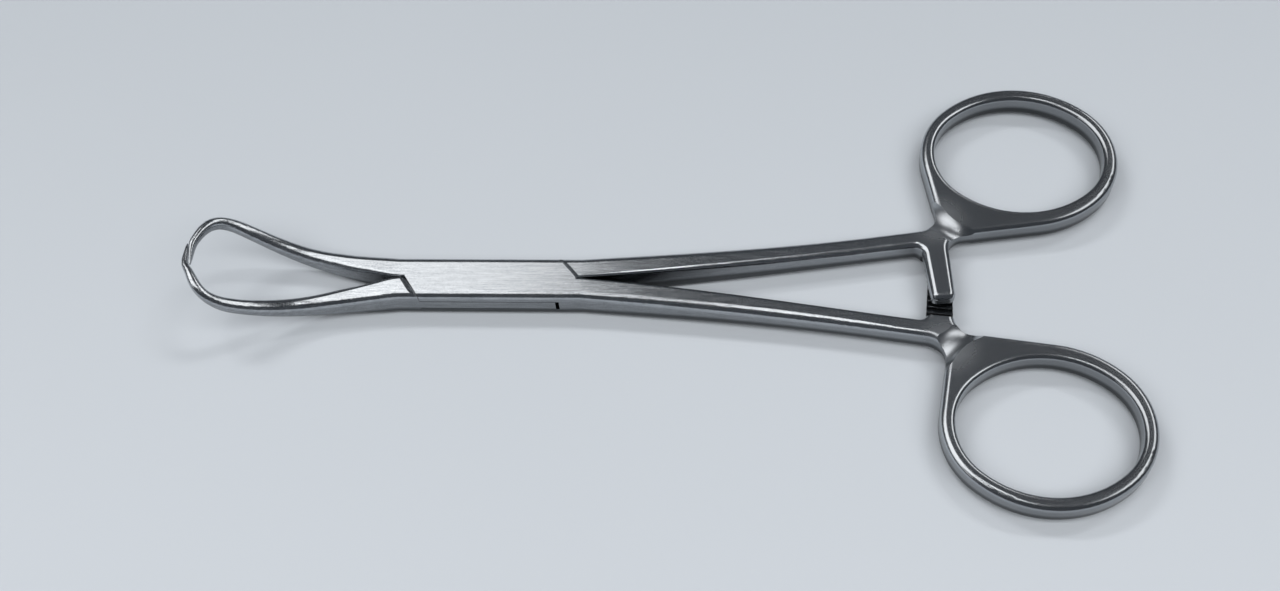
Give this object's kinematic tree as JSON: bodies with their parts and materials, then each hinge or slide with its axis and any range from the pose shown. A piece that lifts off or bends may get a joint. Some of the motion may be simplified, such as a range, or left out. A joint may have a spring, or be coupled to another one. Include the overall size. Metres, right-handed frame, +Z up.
{
  "type": "towel clamp",
  "caption": "Box-lock towel clamp with finger rings, a ratchet and curved pointed jaws that meet side by side, in satin steel.",
  "frame": {"origin": "on the pivot axis, at the flat underside of the box lock", "axes": "+X from the jaw tips to the finger rings, +Z up through the pivot to the side that the jaws curve towards, +Y to the side of the tongue arm's ring"},
  "size_m": [0.1308, 0.0672, 0.0111],
  "materials": {
    "satin_steel": "satin, finely brushed along the length"
  },
  "bodies": {
    "box_arm_body": {"box_arm": "satin_steel", "pivot_pin": "satin_steel"},
    "tongue_arm_body": {"tongue_arm": "satin_steel"}
  },
  "joints": [
    {"name": "box_lock_hinge", "type": "hinge", "parent": "box_arm_body", "child": "tongue_arm_body", "pos_m": [0, 0, 0.00245], "axis": [0, 0, 1], "range_deg": [0, 60]}
  ]
}
